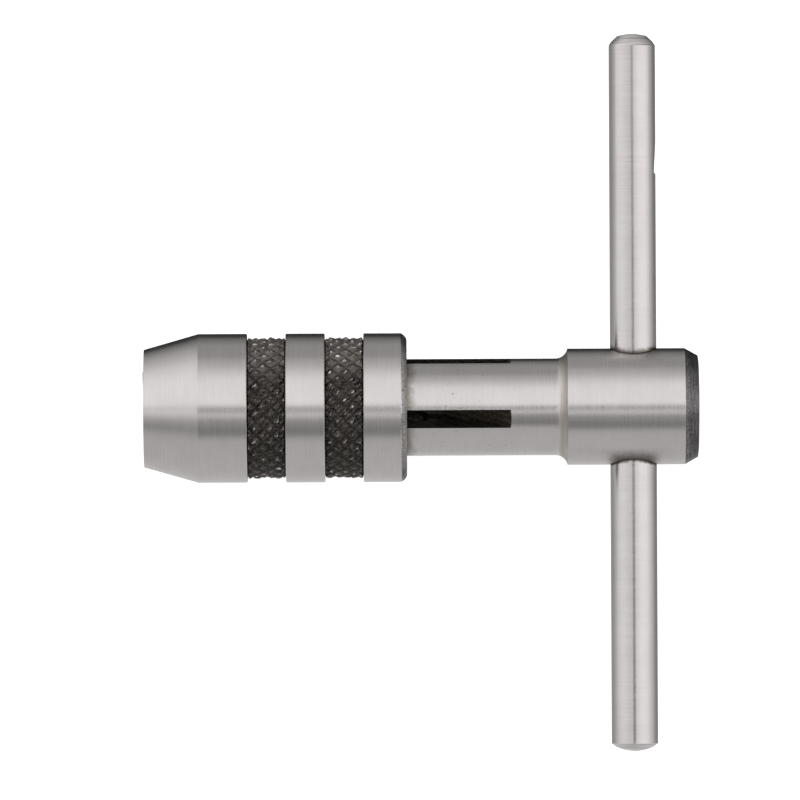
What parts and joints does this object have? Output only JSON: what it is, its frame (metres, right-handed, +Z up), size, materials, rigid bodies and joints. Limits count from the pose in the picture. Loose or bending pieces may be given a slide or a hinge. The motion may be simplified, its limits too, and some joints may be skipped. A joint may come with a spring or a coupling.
{
  "type": "tap wrench",
  "caption": "T-shaped tap wrench: a slotted spindle with a spring-jaw chuck closed by a knurled screw cap, and a sliding cross bar through its head.",
  "frame": {"origin": "on the spindle's axis, in the plane of the chuck's nose", "axes": "+X along the spindle from the nose to the head, +Y along the sliding bar towards its longer side, +Z up from the surface that the tool lies on"},
  "size_m": [0.0599, 0.077, 0.016],
  "materials": {
    "spindle_steel": "ground bright, black oxide left in the slots and on the rear chamfer",
    "jaw_steel": "black oxide over spring-tempered steel",
    "cap_steel": "ground bright, black oxide in the knurled bands and on the rear chamfer",
    "bar_steel": "centreless ground bright",
    "spring_wire": "drawn spring wire",
    "ball_steel": "polished bearing ball",
    "black_oxide": "black oxide"
  },
  "bodies": {
    "spindle": {"spindle": "spindle_steel", "detent_ball": "ball_steel", "detent_spring": "spring_wire", "detent_plug": "black_oxide"},
    "jaw_1": {"jaw_1": "jaw_steel"},
    "jaw_2": {"jaw_2": "jaw_steel"},
    "jaw_3": {"jaw_3": "jaw_steel"},
    "jaw_4": {"jaw_4": "jaw_steel"},
    "cap_ring": {"cap_ring": "spring_wire"},
    "chuck_cap": {"chuck_cap": "cap_steel"},
    "sliding_bar": {"sliding_bar": "bar_steel"}
  },
  "joints": [
    {"name": "cap_travel", "type": "slide", "parent": "spindle", "child": "cap_ring", "axis": [1, 0, 0], "range_m": [0, 0.0027]},
    {"name": "cap_turn", "type": "hinge", "parent": "cap_ring", "child": "chuck_cap", "pos_m": [0, 0, 0], "axis": [1, 0, 0], "range_deg": [0, 973]},
    {"name": "bar_slide", "type": "slide", "parent": "spindle", "child": "sliding_bar", "axis": [0, 1, 0], "range_m": [-0.025, 0.027]},
    {"name": "jaw_1_flex", "type": "hinge", "parent": "spindle", "child": "jaw_1", "pos_m": [0.0265, 0.00117, 0.00198], "axis": [0, -0.8599, 0.5105], "range_deg": [0, 2.55]},
    {"name": "jaw_2_flex", "type": "hinge", "parent": "spindle", "child": "jaw_2", "pos_m": [0.0265, -0.00198, 0.00117], "axis": [0, -0.5105, -0.8599], "range_deg": [0, 2.55]},
    {"name": "jaw_3_flex", "type": "hinge", "parent": "spindle", "child": "jaw_3", "pos_m": [0.0265, -0.00117, -0.00198], "axis": [0, 0.8599, -0.5105], "range_deg": [0, 2.55]},
    {"name": "jaw_4_flex", "type": "hinge", "parent": "spindle", "child": "jaw_4", "pos_m": [0.0265, 0.00198, -0.00117], "axis": [0, 0.5105, 0.8599], "range_deg": [0, 2.55]}
  ],
  "couplings": [
    {"joint": "cap_turn", "follows": "cap_travel", "rad_per_m": 6283.2},
    {"joint": "jaw_1_flex", "follows": "cap_travel", "rad_per_m": 16.16},
    {"joint": "jaw_2_flex", "follows": "cap_travel", "rad_per_m": 16.16},
    {"joint": "jaw_3_flex", "follows": "cap_travel", "rad_per_m": 16.16},
    {"joint": "jaw_4_flex", "follows": "cap_travel", "rad_per_m": 16.16}
  ]
}
